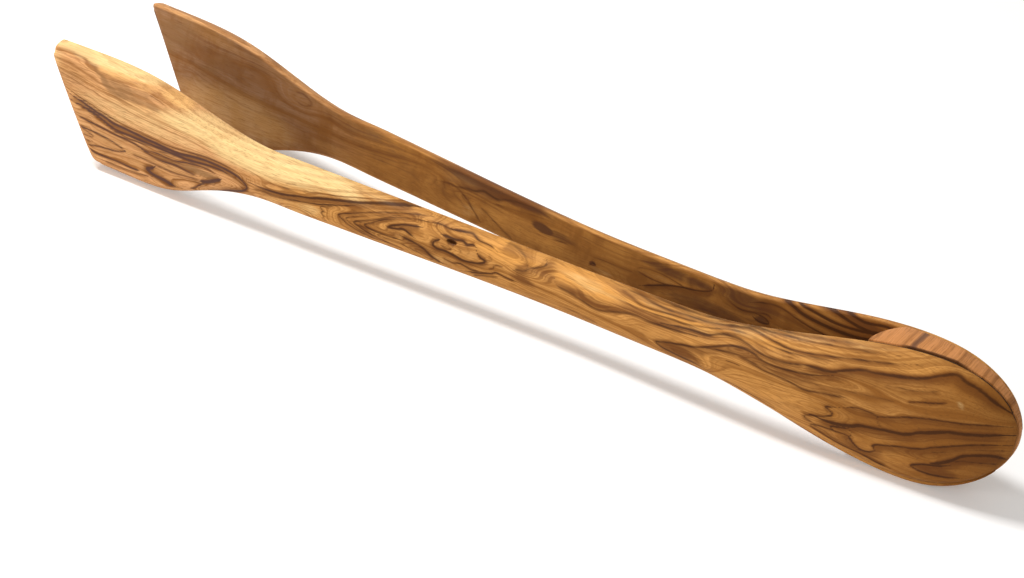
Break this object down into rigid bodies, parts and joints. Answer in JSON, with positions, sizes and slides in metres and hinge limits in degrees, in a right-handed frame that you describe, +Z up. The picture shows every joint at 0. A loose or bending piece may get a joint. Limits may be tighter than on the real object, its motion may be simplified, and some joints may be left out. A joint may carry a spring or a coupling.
{
  "type": "kitchen tongs",
  "caption": "Wooden kitchen tongs with springy arms glued to a wedge at the rounded heel, and wide blades with slanted ends for gripping and turning food.",
  "frame": {"origin": "on the surface that the tongs lie on, under the middle of their bounding box", "axes": "+X along the tongs towards the heel, +Y from the front arm to the rear arm, +Z up across the arms' width"},
  "size_m": [0.299, 0.0548, 0.0372],
  "materials": {
    "arm_wood": "oiled, satin",
    "heel_block_wood": "oiled, satin",
    "glue": "hard wood glue"
  },
  "bodies": {
    "heel": {"heel_block": "heel_block_wood", "front_glue_line": "glue", "rear_glue_line": "glue", "front_arm_heel": "arm_wood", "rear_arm_heel": "arm_wood"},
    "front_arm": {"front_arm": "arm_wood"},
    "rear_arm": {"rear_arm": "arm_wood"}
  },
  "joints": [
    {"name": "front_arm_flex", "type": "hinge", "parent": "heel", "child": "front_arm", "pos_m": [0.06951, -0.00946, 0.017], "axis": [0, 0, -1], "range_deg": [0, 5.4], "stiffness_Nm_per_rad": 18},
    {"name": "rear_arm_flex", "type": "hinge", "parent": "heel", "child": "rear_arm", "pos_m": [0.06951, 0.00946, 0.017], "axis": [0, 0, 1], "range_deg": [0, 5.4], "stiffness_Nm_per_rad": 18}
  ]
}
